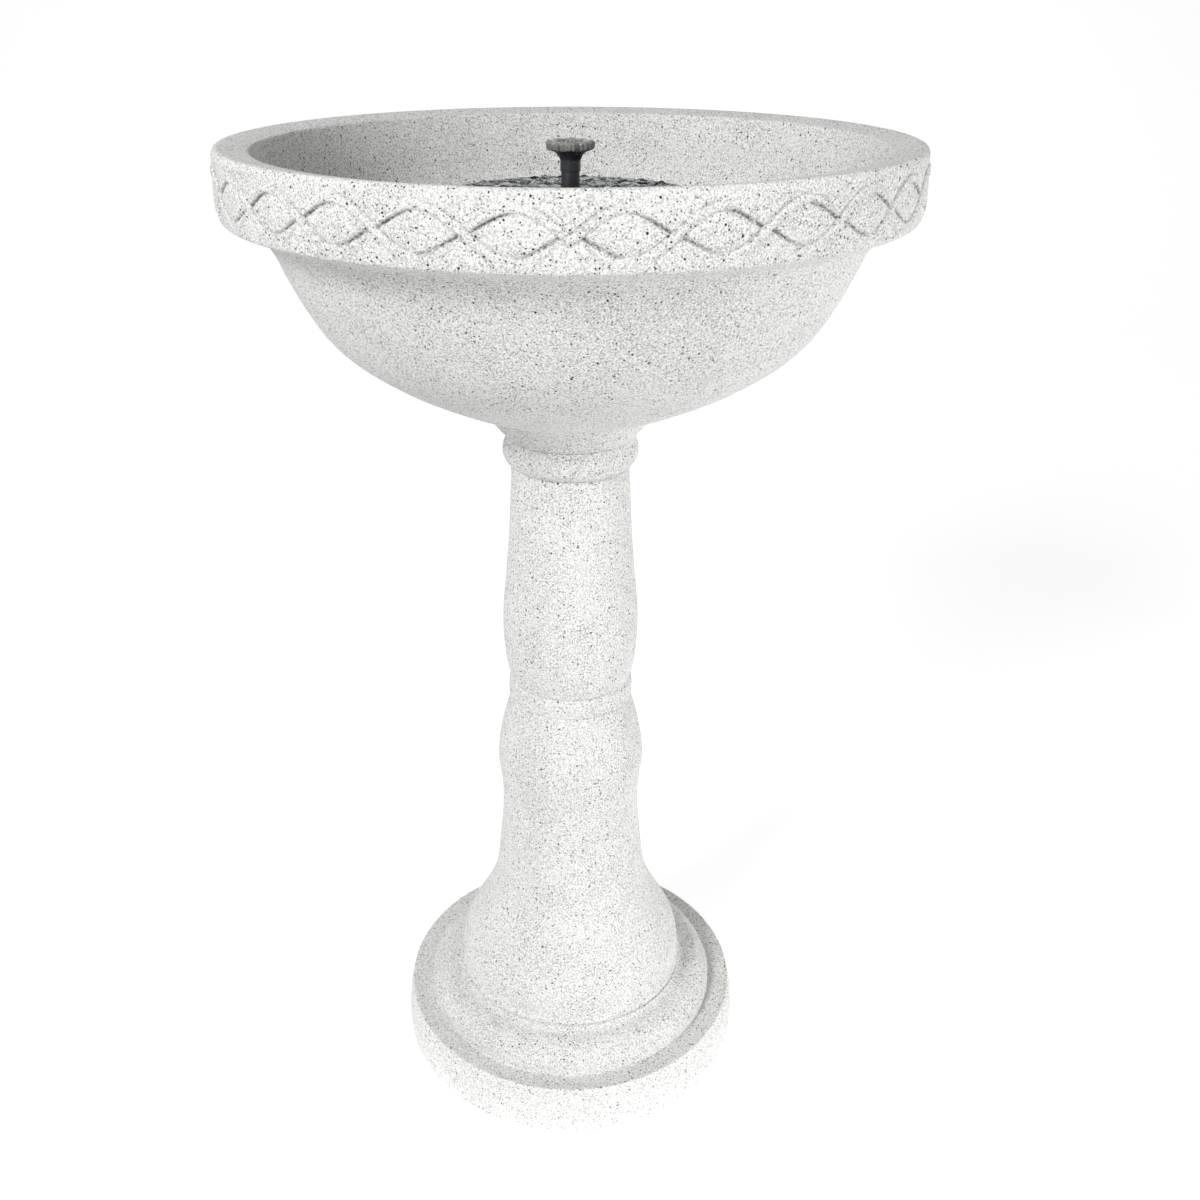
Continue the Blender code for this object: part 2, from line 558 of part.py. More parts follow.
def spray_head(parent, plastic):
    """A flared rosette with eight shallow petals round its edge and holes in its top."""
    z = HEAD_TOP
    outline = [(0.0067, z - 0.0205), (0.0074, z - 0.0205), (0.0078, z - 0.0195), (0.0078, z - 0.0150)]
    outline += [(0.0085, z - 0.0115), (0.0108, z - 0.0085), (0.0135, z - 0.0065)]
    outline += [(HEAD_R, z - 0.0045), (HEAD_R, z - 0.0025), (0.0140, z - 0.0004), (0.0125, z)]
    outline += [(0.0105, z - 0.0003), (0.0095, z - 0.0020), (0.0, z - 0.0026)]
    outline += [(0.0, z - 0.0050), (0.0048, z - 0.0060), (0.0048, z - 0.0102), (0.0067, z - 0.0102)]
    bm = turned_cup(outline)
    for v in bm.verts:
        r = math.hypot(v.co.x, v.co.y)
        if r > 0.0120:
            petal = 1 + 0.045 * math.cos(8 * math.atan2(v.co.y, v.co.x))
            v.co.x *= petal
            v.co.y *= petal
    head = add("spray_head", bm, plastic, parent)
    places = [(0.0, 0.0)] + [(0.0036 * math.cos(a), 0.0036 * math.sin(a))
                             for a in (math.tau * i / 6 for i in range(6))]
    for i, (x, y) in enumerate(places):
        jet = add(f"jet_{i}", rod((x, y, z - 0.0080), (x, y, z + 0.0010), 0.0007, 8), None, parent)
        boolean(head, jet)


def turned_cup(outline):
    """Spins an outline that touches the axis twice in a row, as through a solid web."""
    start = next(i for i, (r, _) in enumerate(outline) if r == 0.0)
    loop = outline[start + 1:] + outline[:start + 1]
    return turned(loop, 32, closed=False)


def main():
    clear_scene()
    stone = material("cast stone", (0.82, 0.82, 0.81), 0.85)
    rubber = material("black rubber", (0.03, 0.03, 0.03), 0.8)
    steel = material("stainless steel", (0.62, 0.62, 0.60), 0.3, 1.0)
    plastic = material("black plastic", (0.035, 0.035, 0.04), 0.45)
    clear = material("clear acrylic", (0.85, 0.9, 0.95), 0.08, 0.0, 0.35)
    silicon = material("solar cell", (0.02, 0.025, 0.05), 0.25)
    laminate = material("circuit laminate", (0.03, 0.16, 0.07), 0.5)
    copper = material("enamelled copper", (0.55, 0.22, 0.10), 0.35, 1.0)
    magnet = material("ferrite", (0.06, 0.06, 0.065), 0.6)
    ceramic = material("white ceramic", (0.8, 0.79, 0.75), 0.25)
    foam = material("filter foam", (0.05, 0.05, 0.055), 0.95)

    plinth(stone)
    pads(rubber)
    lower_column(stone)
    upper_column(stone)
    tie_rod(steel)
    bowl_gasket(rubber)
    bowl(stone)

    module = empty("module_lift", (0, 0, 0))
    pump_turn = (-math.pi / 2, 0, 0)
    pump = empty("pump_axis", (PUMP_X, 0, PUMP_Z), pump_turn, module)
    rotor = empty("rotor_spin", (PUMP_X, 0, PUMP_Z), pump_turn, module)
    panel(module, plastic, clear, silicon)
    tray_base(module, plastic)
    screws(module, steel)
    driver_board(module, laminate)
    strainer_cage(module, plastic)
    cage_feet(module, rubber)
    pump_body(pump, module, plastic)
    pump_inside(pump, rotor, plastic, steel, copper, magnet, ceramic, rubber)
    filter_sponge(module, foam)
    riser_tube(module, plastic)
    spray_head(module, plastic)


main()
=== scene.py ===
# A pedestal bird bath in speckled cast stone, with a solar fountain standing in its bowl.
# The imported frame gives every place; the surfaces here are worked out round it. Lengths in
# the dictionaries are millimetres, and z is the height above the ground.
import json
import math

import bpy
import numpy as np
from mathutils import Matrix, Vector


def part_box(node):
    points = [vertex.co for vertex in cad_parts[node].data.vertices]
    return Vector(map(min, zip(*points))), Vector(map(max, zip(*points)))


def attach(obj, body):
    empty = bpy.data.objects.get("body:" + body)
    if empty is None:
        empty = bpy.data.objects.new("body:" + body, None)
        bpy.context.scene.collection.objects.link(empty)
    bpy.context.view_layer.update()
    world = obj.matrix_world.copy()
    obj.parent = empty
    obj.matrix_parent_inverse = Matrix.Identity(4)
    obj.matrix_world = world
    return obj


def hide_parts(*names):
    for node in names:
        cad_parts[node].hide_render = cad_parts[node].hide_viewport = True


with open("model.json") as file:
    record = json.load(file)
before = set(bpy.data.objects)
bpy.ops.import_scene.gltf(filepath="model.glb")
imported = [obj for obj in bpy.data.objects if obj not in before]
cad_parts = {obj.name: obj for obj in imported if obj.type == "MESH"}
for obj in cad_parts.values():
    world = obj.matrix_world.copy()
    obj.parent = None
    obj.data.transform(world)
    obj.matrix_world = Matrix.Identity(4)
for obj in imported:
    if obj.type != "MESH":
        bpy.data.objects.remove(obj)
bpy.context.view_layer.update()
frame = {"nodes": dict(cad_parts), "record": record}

mm = 0.001


# ---- small helpers

# Hex to linear: c / 12.92 below 0.04045, else ((c + 0.055) / 1.055) to the power 2.4
def srgb(code):
    c = np.array([int(code[i:i + 2], 16) for i in (1, 3, 5)]) / 255
    linear = np.where(c <= 0.04045, c / 12.92, ((c + 0.055) / 1.055) ** 2.4)
    return (*linear.tolist(), 1.0)


# One node with its settings, and its sockets set or linked
def addNode(tree, kind, sockets=None, **settings):
    made = tree.nodes.new("ShaderNode" + kind)
    for key, value in settings.items():
        setattr(made, key, value)
    for key, value in (sockets or {}).items():
        if isinstance(value, bpy.types.NodeSocket):
            tree.links.new(value, made.inputs[key])
        else:
            made.inputs[key].default_value = value
    return made


def newMaterial(name, sockets):
    made = bpy.data.materials.new(name)
    made.use_nodes = True
    shader = made.node_tree.nodes["Principled BSDF"]
    for key, value in sockets.items():
        shader.inputs[key].default_value = value
    return made, made.node_tree, shader


# A smooth step from 0 at a to 1 at b: t * t * (3 - 2t)
def smoothStep(a, b, x):
    t = np.clip((x - a) / (b - a), 0, 1)
    return t * t * (3 - 2 * t)


# Points of a circle round a centre, between two angles in degrees
def arcPoints(centre, radius, start, end, count):
    a = np.radians(np.linspace(start, end, count))
    return np.stack([centre[0] + radius * np.cos(a), centre[1] + radius * np.sin(a)], 1)


# A Catmull-Rom curve through the points: a cubic blend of four neighbours for each stretch
def splinePoints(points, steps):
    p = np.array(points, float)
    p = np.vstack([2 * p[0] - p[1], p, 2 * p[-1] - p[-2]])
    t = np.linspace(0, 1, steps, endpoint=False)[:, None]
    parts = []
    for a, b, c, d in zip(p, p[1:], p[2:], p[3:]):
        parts.append(0.5 * (2 * b + (c - a) * t + (2 * a - 5 * b + 4 * c - d) * t ** 2
                            + (3 * b - a - 3 * c + d) * t ** 3))
    return np.vstack([*parts, p[-2:-1]])


# Straight runs whose corners are rounded by an arc of each corner's own radius
def filletPoints(points, radii, count=5):
    p = np.array(points, float)
    found = [p[:1]]
    for before, corner, after, radius in zip(p, p[1:], p[2:], radii):
        a = (before - corner) / np.linalg.norm(before - corner)
        b = (after - corner) / np.linalg.norm(after - corner)
        half = math.acos(np.clip(a @ b, -1, 1)) / 2
        reach = radius / math.tan(half)
        t = np.linspace(0, 1, count)[:, None]
        start, end = corner + a * reach, corner + b * reach
        # a quadratic curve, close to the arc
        found.append((1 - t) ** 2 * start + 2 * t * (1 - t) * corner + t ** 2 * end)
    found.append(p[-1:])
    return np.vstack(found)


# Evenly spaced points along a polyline
def evenPoints(points, spacing):
    p = np.array(points, float)
    run = np.r_[0, np.cumsum(np.linalg.norm(np.diff(p, axis=0), axis=1))]
    at = np.linspace(0, run[-1], max(2, int(round(run[-1] / spacing)) + 1))
    return np.stack([np.interp(at, run, p[:, 0]), np.interp(at, run, p[:, 1])], 1)


# A mesh object from points in millimetres and faces, turned outwards by its signed volume
def makePiece(name, points, faces, material, attribute=None, sharp=40):
    volume = 0.0
    for face in faces[:: max(1, len(faces) // 60000)]:
        a, b, c = points[face[0]], points[face[1]], points[face[2]]
        volume += float(np.dot(a, np.cross(b, c)))
    if volume < 0:
        faces = [face[::-1] for face in faces]
    mesh = bpy.data.meshes.new(name)
    mesh.from_pydata((points * mm).tolist(), [], faces)
    mesh.update()
    mesh.shade_smooth()
    if sharp:
        mesh.set_sharp_from_angle(angle=math.radians(sharp))
    for key, values in (attribute or {}).items():
        made = mesh.attributes.new(key, "FLOAT", "POINT")
        made.data.foreach_set("value", np.asarray(values, np.float32))
    mesh.materials.append(material)
    made = bpy.data.objects.new(name, mesh)
    bpy.context.scene.collection.objects.link(made)
    return made


# A surface of revolution: each row is (radius, height), carried round the axis.
# Blocks of rows may have their own number of columns; a block's shape function moves its points.
# Rows of radius 0 at either end become one pole; without poles the last row joins the first.
def turnedArrays(blocks):
    points, faces, marks, start = [], [], [], 0
    lines = []
    for block in blocks:
        rows = np.array(block["rows"], float)
        columns = block["columns"]
        angle = np.arange(columns) / columns * math.tau
        r = np.repeat(rows[:, :1], columns, 1)
        z = np.repeat(rows[:, 1:], columns, 1)
        mark = np.zeros_like(r)
        if "shape" in block:
            r, z, mark = block["shape"](r, z, angle[None, :])
        grid = np.stack([r * np.cos(angle), r * np.sin(angle), z], 2)
        for row, rowMark, radius in zip(grid, mark, rows[:, 0]):
            if radius < 1e-6:
                row, rowMark = row[:1], rowMark[:1]
            points.append(row)
            marks.append(rowMark)
            lines.append((start, len(row)))
            start += len(row)
    if lines[0][1] > 1:
        lines.append(lines[0])
    for (a, countA), (b, countB) in zip(lines, lines[1:]):
        if countA == countB:
            i = np.arange(countA)
            j = (i + 1) % countA
            faces += np.stack([a + i, a + j, b + j, b + i], 1).tolist()
            continue
        flip = countA > countB
        few, countFew, many, countMany = (b, countB, a, countA) if flip else (a, countA, b, countB)
        if countFew == 1:
            i = np.arange(countMany)
            fan = np.stack([np.full(countMany, few), many + (i + 1) % countMany, many + i], 1)
        else:
            each = countMany // countFew
            i = np.arange(countFew)
            fan = np.stack([few + i, few + (i + 1) % countFew]
                           + [many + ((i + 1) * each - k) % countMany for k in range(each + 1)], 1)
        faces += (fan[:, ::-1] if flip else fan).tolist()
    return np.vstack(points), faces, np.concatenate(marks)


def turnedPiece(name, rows, columns, material):
    points, faces, _ = turnedArrays([{"rows": rows, "columns": columns}])
    return makePiece(name, points, faces, material)


# Several small shapes as one mesh
def joinShapes(shapes):
    points, faces, start = [], [], 0
    for found, sides in shapes:
        points.append(found)
        faces += [[index + start for index in side] for side in sides]
        start += len(found)
    return np.vstack(points), faces


def settle(piece, body, slot, *nodes):
    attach(piece, body)
    if nodes:
        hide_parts(*nodes)
    return piece


def boxMm(node):
    low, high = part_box(node)
    return np.array(low) / mm, np.array(high) / mm


# ---- materials

# Cast stone: white cement and crushed marble with dark granite chips, tamped in a mould and
# acid washed. It is matt and pitted, near white, with a fine grain and scattered grey chips.
stone = {
    "paste": "#F7F7F5", "grainDark": "#A6A6A3", "chip": "#252523", "paleChip": "#757572",
    # the dark grey #6A6A67 below is painted shade, laid along the carved grooves' edges where their shadow falls
    "grainSize": 1.15, "cloudSize": 30, "paintedShade": "#6A6A67", "paintedShadeGrain": 2.6,
    # each row: cell size, share of the cells that hold a chip, the chip's reach, its tint
    "chips": [(1.9, 0.40, 0.27, "paleChip"), (2.6, 0.32, 0.23, "chip"), (5.0, 0.36, 0.17, "chip")],
}


def castStone():
    made, tree, shader = newMaterial("castStone", {
        "Roughness": 0.9, "IOR": 1.5, "Specular IOR Level": 0.3})
    place = addNode(tree, "TexCoord").outputs["Object"]
    bend = addNode(tree, "TexNoise", {"Vector": place, "Scale": 1000 / 1.3, "Detail": 1.0})
    bent = addNode(tree, "VectorMath", {0: bend.outputs["Color"], "Scale": 1.1 * mm}, operation="SCALE")
    moved = addNode(tree, "VectorMath", {0: place, 1: bent.outputs[0]}, operation="ADD").outputs[0]
    grain = addNode(tree, "TexNoise", {"Vector": place, "Scale": 1000 / stone["grainSize"],
                                       "Detail": 1.5, "Roughness": 0.6})
    cloud = addNode(tree, "TexNoise", {"Vector": place, "Scale": 1000 / stone["cloudSize"], "Detail": 3.0})
    grainRamp = addNode(tree, "MapRange", {"Value": grain.outputs["Fac"], "From Min": 0.36,
                                           "From Max": 0.60, "To Min": 0.80, "To Max": 0.0})
    cloudRamp = addNode(tree, "MapRange", {"Value": cloud.outputs["Fac"], "From Min": 0.3,
                                           "From Max": 0.7, "To Min": 0.8, "To Max": 1.1})
    amount = addNode(tree, "Math", {0: grainRamp.outputs[0], 1: cloudRamp.outputs[0]},
                     operation="MULTIPLY", use_clamp=True)
    colour = addNode(tree, "Mix", {"Factor": amount.outputs[0], "A": srgb(stone["paste"]),
                                   "B": srgb(stone["grainDark"])}, data_type="RGBA").outputs["Result"]
    height = grain.outputs["Fac"]
    # chips: a share of the cells of a Voronoi pattern, each a small blot round its cell's centre
    for size, share, reach, tint in stone["chips"]:
        cells = addNode(tree, "TexVoronoi", {"Vector": moved, "Scale": 1000 / size, "Randomness": 1.0})
        pick = addNode(tree, "SeparateColor", {"Color": cells.outputs["Color"]}).outputs[0]
        chosen = addNode(tree, "Math", {0: pick, 1: share}, operation="LESS_THAN")
        blot = addNode(tree, "MapRange", {"Value": cells.outputs["Distance"],
                                          "From Min": reach * 0.75, "From Max": reach,
                                          "To Min": 1.0, "To Max": 0.0})
        mask = addNode(tree, "Math", {0: chosen.outputs[0], 1: blot.outputs[0]}, operation="MULTIPLY")
        colour = addNode(tree, "Mix", {"Factor": mask.outputs[0], "A": colour, "B": srgb(stone[tint])},
                         data_type="RGBA").outputs["Result"]
        height = addNode(tree, "Math", {0: height, 1: mask.outputs[0]}, operation="SUBTRACT").outputs[0]
    # painted shade: a dark grey laid along the edges of the carved lines, where their shadow falls, broken into
    # patches by noise
    line = addNode(tree, "Attribute", attribute_name="grooveShadeMask")
    patch = addNode(tree, "TexNoise", {"Vector": place, "Scale": 1000 / stone["paintedShadeGrain"],
                                       "Detail": 4.0, "Roughness": 0.75})
    ragged = addNode(tree, "MapRange", {"Value": patch.outputs["Fac"], "From Min": 0.38,
                                        "From Max": 0.60, "To Min": 1.6, "To Max": 0.25})
    paintedShadeAmount = addNode(tree, "Math", {0: line.outputs["Fac"], 1: ragged.outputs[0]}, operation="MULTIPLY",
                     use_clamp=True)
    colour = addNode(tree, "Mix", {"Factor": paintedShadeAmount.outputs[0], "A": colour, "B": srgb(stone["paintedShade"])},
                     data_type="RGBA").outputs["Result"]
    tree.links.new(colour, shader.inputs["Base Color"])
    bump = addNode(tree, "Bump", {"Height": height, "Strength": 0.5, "Distance": 0.3 * mm})
    tree.links.new(bump.outputs[0], shader.inputs["Normal"])
    return made


# A moulded or drawn surface: one colour, clouded a little, with a fine texture of a real size
def plainFinish(name, colour, roughness, metallic=0.0, texture=0.4, depth=0.05, ior=1.5, spread=0.12):
    made, tree, shader = newMaterial(name, {"Metallic": metallic, "IOR": ior})
    place = addNode(tree, "TexCoord").outputs["Object"]
    fine = addNode(tree, "TexNoise", {"Vector": place, "Scale": 1000 / texture, "Detail": 2.0})
    wide = addNode(tree, "TexNoise", {"Vector": place, "Scale": 1000 / 18, "Detail": 3.0})
    base = srgb(colour)
    pale = tuple(min(1.0, c * 1.5 + 0.012) for c in base[:3]) + (1.0,)
    tint = addNode(tree, "Mix", {"Factor": wide.outputs["Fac"], "A": base, "B": pale}, data_type="RGBA")
    rough = addNode(tree, "MapRange", {"Value": wide.outputs["Fac"], "From Min": 0.3, "From Max": 0.7,
                                       "To Min": roughness - spread, "To Max": roughness + spread})
    bump = addNode(tree, "Bump", {"Height": fine.outputs["Fac"], "Strength": 0.4, "Distance": depth * mm})
    tree.links.new(tint.outputs["Result"], shader.inputs["Base Color"])
    tree.links.new(rough.outputs[0], shader.inputs["Roughness"])
    tree.links.new(bump.outputs[0], shader.inputs["Normal"])
    return made, tree, shader


# Clear acrylic under a film of water, whose IOR the surface takes: glossy, with small waves
# of about 3 mm
def wetAcrylic():
    made, tree, shader = newMaterial("clearAcrylic", {
        "Base Color": srgb("#C9D0D2"), "Roughness": 0.04, "IOR": 1.33, "Transmission Weight": 1.0})
    place = addNode(tree, "TexCoord").outputs["Object"]
    wave = addNode(tree, "TexNoise", {"Vector": place, "Scale": 1000 / 3.2, "Detail": 2.0,
                                      "Distortion": 0.8})
    bump = addNode(tree, "Bump", {"Height": wave.outputs["Fac"], "Strength": 1.0,
                                  "Distance": 0.5 * mm})
    tree.links.new(bump.outputs[0], shader.inputs["Normal"])
    return made


# The nozzle's black ABS, wet, turning patchily pale grey over its last 8 mm towards the top
def paleTopPlastic():
    made, tree, shader = plainFinish("nozzleAbs", "#2E2F31", 0.30, texture=0.8, depth=0.06, ior=1.54)
    place = addNode(tree, "TexCoord").outputs["Object"]
    height = addNode(tree, "SeparateXYZ", {"Vector": place}).outputs["Z"]
    paleNoise = addNode(tree, "TexNoise", {"Vector": place, "Scale": 1000 / 2.6, "Detail": 4.0,
                                       "Roughness": 0.7})
    rise = addNode(tree, "MapRange", {"Value": height, "From Min": 0.7705, "From Max": 0.7785})
    patchy = addNode(tree, "MapRange", {"Value": paleNoise.outputs["Fac"], "From Min": 0.35,
                                        "From Max": 0.62, "To Min": 0.25, "To Max": 1.0})
    amount = addNode(tree, "Math", {0: rise.outputs[0], 1: patchy.outputs[0]}, operation="MULTIPLY")
    under = shader.inputs["Base Color"].links[0].from_socket
    mixed = addNode(tree, "Mix", {"Factor": amount.outputs[0], "A": under, "B": srgb("#A3A4A1")},
                    data_type="RGBA")
    tree.links.new(mixed.outputs["Result"], shader.inputs["Base Color"])
    return made


print("materials")
stoneFinish = castStone()
# ABS: moulded black plastic with a fine spark texture
blackPlastic, *_ = plainFinish("blackAbs", "#232427", 0.42, texture=0.5, depth=0.04, ior=1.54)
nozzlePlastic = paleTopPlastic()
# nitrile rubber: moulded, nearly without gloss
blackRubber, *_ = plainFinish("nitrileRubber", "#1B1B1C", 0.72, texture=0.6, depth=0.05, ior=1.52)
# stainless steel: cold headed, satin
stainless, *_ = plainFinish("stainlessSteel", "#B9B8B4", 0.32, 1.0, texture=0.3, depth=0.01, spread=0.08)
# electrical steel: stamped sheets, dull grey
motorSteel, *_ = plainFinish("electricalSteel", "#6B6B6D", 0.45, 1.0, texture=0.5, depth=0.02)
# enamelled copper: wound wire, a fine ribbing under a clear enamel
copperWire, *_ = plainFinish("enamelledCopper", "#B06A45", 0.35, 1.0, texture=0.35, depth=0.10)
# ferrite: pressed and sintered, charcoal grey
ferrite, *_ = plainFinish("sinteredFerrite", "#3B3B3D", 0.60, texture=0.3, depth=0.03, ior=1.6)
# alumina: ground and polished, ivory white
whiteCeramic, *_ = plainFinish("aluminaCeramic", "#E6E3DA", 0.22, texture=0.2, depth=0.005, ior=1.7,
                               spread=0.05)
# glass and epoxy board under green solder mask
boardResin, *_ = plainFinish("epoxyBoard", "#1F5A33", 0.45, texture=0.6, depth=0.03)
# polyether foam: open cells of about 1.4 mm
foamFinish, *_ = plainFinish("filterFoam", "#2A2B2D", 0.95, texture=1.4, depth=0.6, spread=0.04)
# silicon wafers: nearly black with a deep satin gloss
siliconFinish, *_ = plainFinish("siliconWafer", "#14161C", 0.38, texture=1.2, depth=0.01, ior=1.6,
                                spread=0.05)
# printed conductors: dull silver
silverPaste, *_ = plainFinish("silverPaste", "#8E9092", 0.38, 1.0, texture=0.3, depth=0.01, spread=0.06)
# the laminate's back sheet: dark polyester film
backSheet, *_ = plainFinish("laminateSheet", "#1E2024", 0.5, texture=0.6, depth=0.02, spread=0.06)
clearCover = wetAcrylic()


# ---- bowl

bowlLow, bowlHigh = boxMm("bowl")
neckZ = boxMm("bowl_gasket")[1][2] + 0.3
bowl = {
    "rimR": bowlHigh[0], "top": bowlHigh[2], "band": 47.0, "stubR": 31.2, "neckR": 49.0,
    "filletEnd": 76, "mouthR": 206.0, "floorZ": 620.0, "power": 2.1, "columns": 336, "fine": 4,
}
plait = {
    "crossings": 28, "seam": 0.055, "rise": 13.8, "halfWidth": 2.5, "pinch": 1.7, "edge": 1.3,
    "height": 1.35, "dip": 0.55, "groove": 0.95, "eyeHeight": 1.25, "middle": 758.4, "nick": 0.9,
}


# Two ribbons, middle + rise * sin(pi t) and its mirror image, cross at each whole t; a low dome
# fills each eye between them. t grows both ways from the front, where the mould's halves meet,
# and the ribbon that climbs with t goes over. Painted shade lies in the under ribbon's inner edges
# and, thinner, in the over ribbon's upper ones. The result is added to the radius.
def plaitRelief(r, z, angle):
    pitch = math.tau / plait["crossings"]
    s = (angle + math.pi / 2) / pitch + 0 * z
    t = np.abs((s + plait["crossings"] / 2) % plait["crossings"] - plait["crossings"] / 2) - plait["seam"]
    h = z - plait["middle"]
    near = np.exp(-((t - np.round(t)) / 0.17) ** 2)
    slope = plait["rise"] * math.pi / (pitch * bowl["rimR"]) * np.cos(math.pi * t)
    lean = 1 / np.sqrt(1 + slope ** 2)
    edge = plait["edge"]
    ribbons = []
    for side in (1.0, -1.0):
        middle = side * plait["rise"] * np.sin(math.pi * t)
        under = smoothStep(0.12, -0.12, np.cos(math.pi * t) * side)
        w = plait["halfWidth"] - plait["pinch"] * under * near
        d = (h - middle) * lean
        top = plait["height"] * (1 - 0.25 * (d / w) ** 2) * (1 - plait["dip"] * under * near)
        raised = top * (1 - smoothStep(w - edge / 2, w + edge / 2, np.abs(d)))
        ribbons.append((raised, d, w, under, np.sign(middle)))
    inside = (plait["rise"] * np.abs(np.sin(math.pi * t)) - np.abs(h)) * lean - plait["halfWidth"] - 0.5
    eye = plait["eyeHeight"] * np.sqrt(np.clip(inside / 8.0, 0, 1))
    raised = np.maximum(np.maximum(ribbons[0][0], ribbons[1][0]), eye)
    line = np.zeros_like(z)
    # each ribbon's edge is cut as a groove, and the chosen sides of the grooves get painted shade through the
    # returned mask
    for (_, d, w, under, above), (_, dOther, wOther, *_) in zip(ribbons, ribbons[::-1]):
        shown = 1 - under * (1 - smoothStep(wOther - 0.5, wOther + 0.5, np.abs(dOther)))
        spread = 0.55 + 0.40 * under
        cut = np.exp(-((np.abs(d) - w - 0.3) / spread) ** 2) * shown
        paintedShade = under * (d * above < 0) + (1 - under) * (d > 0) * 0.5
        calm = 0.25 + 0.75 * np.abs(np.cos(math.pi * t)) ** 0.6
        raised = raised - plait["groove"] * cut * (0.35 + 0.65 * paintedShade) * calm
        line = np.maximum(line, cut * paintedShade * calm)
    # a slanting nick where the mould's halves meet, its groove also painted dark as shade
    across = (s * pitch * bowl["rimR"] + 0.85 + 0.6 * h) / 1.17
    nick = (np.exp(-(across / plait["nick"]) ** 2) * (1 - smoothStep(2.8, 4.4, np.abs(h + 0.6)))
            * (np.abs(s) < 0.5))
    raised, line = raised - 0.8 * nick, np.maximum(line, nick)
    # the carving fades out towards the plain borders of the band
    fade = smoothStep(0, 4.0, 21.5 - np.abs(h + 0.8))
    return r + fade * raised, z, fade * line


# The bowl's profile from the stub's middle, up the outside, over the rim and down the inside:
# x = mouthR * cos(a) ** (2 / power), with the depth below the mouth as the same power of sin(a)
def bowlRows():
    rim, top, band = bowl["rimR"], bowl["top"], bowl["band"]
    low = top - band
    under = splinePoints([
        (bowl["neckR"] + 0.4, neckZ + 0.1), (bowl["neckR"] + 1.8, neckZ + 2.8),
        (bowl["neckR"] + 4.6, neckZ + 5.8), (bowl["neckR"] + 8.0, neckZ + 10.0),
        (60.6, 587.6), (63.6, 591.4), (67.0, 594.6), (71.0, 596.7), (78.0, 599.0), (86.0, 601.8),
        (94.0, 605.0), (108, 611.7), (126.4, 621.2), (141.6, 630.6), (156.0, 640.8), (167.8, 651.4),
        (177.4, 663.0), (185.8, 677.0), (193.0, 691.0), (198.8, 703.8), (203.0, 714.0), (208.2, 723.0),
        (215.0, 729.6), (220, 732.4)], 6)
    # close rows up the fillet over the neck, then wider ones
    turn = int(np.argmax(under[:, 0] > bowl["filletEnd"]))
    under = np.vstack([evenPoints(under[:turn], 1.5)[:-1], evenPoints(under[turn - 1:], 3.1)])
    lip = filletPoints([(220, 732.4), (228.0, low - 0.4), (rim - 0.4, low + 2.8), (rim, low + 10.5)],
                       [1.6, 3.4], 6)[1:-1]
    face = np.stack([np.full(44, rim), np.linspace(low + 10.5, top - 6.0, 44)], 1)
    crown = filletPoints([(rim, top - 5.0), (rim - 0.3, top + 0.1), (rim - 13, top - 2.0),
                          (rim - 23.6, top - 3.7), (205.4, top - 18)], [4.4, 12.0, 3.0], 7)
    angle = np.radians(np.linspace(8.5, 90, 40))
    reach = 2 / bowl["power"]
    mouthZ = top - 4.7
    inner = np.stack([bowl["mouthR"] * np.cos(angle) ** reach,
                      mouthZ - (mouthZ - bowl["floorZ"]) * np.sin(angle) ** reach], 1)
    inner[-1, 0] = 0
    stub = np.array([(0, bowlLow[2]), (bowl["stubR"] - 0.6, bowlLow[2]), (bowl["stubR"], bowlLow[2] + 0.6),
                     (bowl["stubR"], neckZ - 0.02), (bowl["neckR"] + 0.2, neckZ)])
    return np.vstack([stub, under, lip]), face, np.vstack([crown[:-1], inner])


print("bowl")
lowerRows, faceRows, upperRows = bowlRows()
points, faces, grooveShadeMask = turnedArrays([
    {"rows": lowerRows, "columns": bowl["columns"]},
    {"rows": faceRows, "columns": bowl["columns"] * bowl["fine"], "shape": plaitRelief},
    {"rows": upperRows, "columns": bowl["columns"]},
])
# the band's grooves carry their painted shade to the stone's material in a point attribute
bowlPiece = makePiece("bowlCasting", points, faces, stoneFinish, {"grooveShadeMask": grooveShadeMask}, 55)
settle(bowlPiece, "bowl_body", "cast_stone", "bowl")


# ---- pedestal

def pedestalPiece(name, rows, columns, *nodes):
    points, faces, _ = turnedArrays([{"rows": rows, "columns": columns}])
    # the pedestal has no painted shade: its mask is zero everywhere
    piece = makePiece(name, points, faces, stoneFinish, {"grooveShadeMask": np.zeros(len(points))}, 50)
    return settle(piece, "pedestal", "cast_stone", *nodes)


print("pedestal")
waistZ = boxMm("upper_column")[0][2]
footZ = boxMm("plinth")[1][2]
plinthR = boxMm("plinth")[1][0]
rodBore = 5.5
upperDrum = {
    "waistR": 49.6, "swellR": 54.4, "collarR": 51.6, "collarZ": 561.4, "beadR": 13.5, "socketR": 31.5,
    "socketDepth": 20.0, "grooveR": 37.3,
}
lowerDrum = {"footR": 100.0, "bellyR": 61.3, "bellyZ": 286.0, "ringR": 50.6, "spigotR": 25.0, "seatR": 40.0}

u = upperDrum
shaft = splinePoints([
    (u["waistR"] - 0.7, waistZ + 0.3), (u["waistR"] + 0.6, waistZ + 6.0), (u["swellR"] - 2.0, waistZ + 15),
    (u["swellR"] - 0.5, waistZ + 30), (u["swellR"], waistZ + 46), (u["swellR"] - 0.7, waistZ + 66),
    (u["swellR"] - 3.6, waistZ + 94), (u["swellR"] - 6.4, waistZ + 128), (u["swellR"] - 8.2, waistZ + 160),
    (u["swellR"] - 9.2, waistZ + 176.5)], 8)
collar = arcPoints((u["collarR"] - u["beadR"], u["collarZ"]), u["beadR"], -66, 36, 18)
outside = np.vstack([evenPoints(shaft, 2.6), [(u["swellR"] - 9.0, waistZ + 180.2)],
                     [(u["collarR"] - 7.2, u["collarZ"] - 12.7)], collar,
                     [(48.8, neckZ - 2.2), (49.3, neckZ - 0.4)]])
floorZ = neckZ - u["socketDepth"]
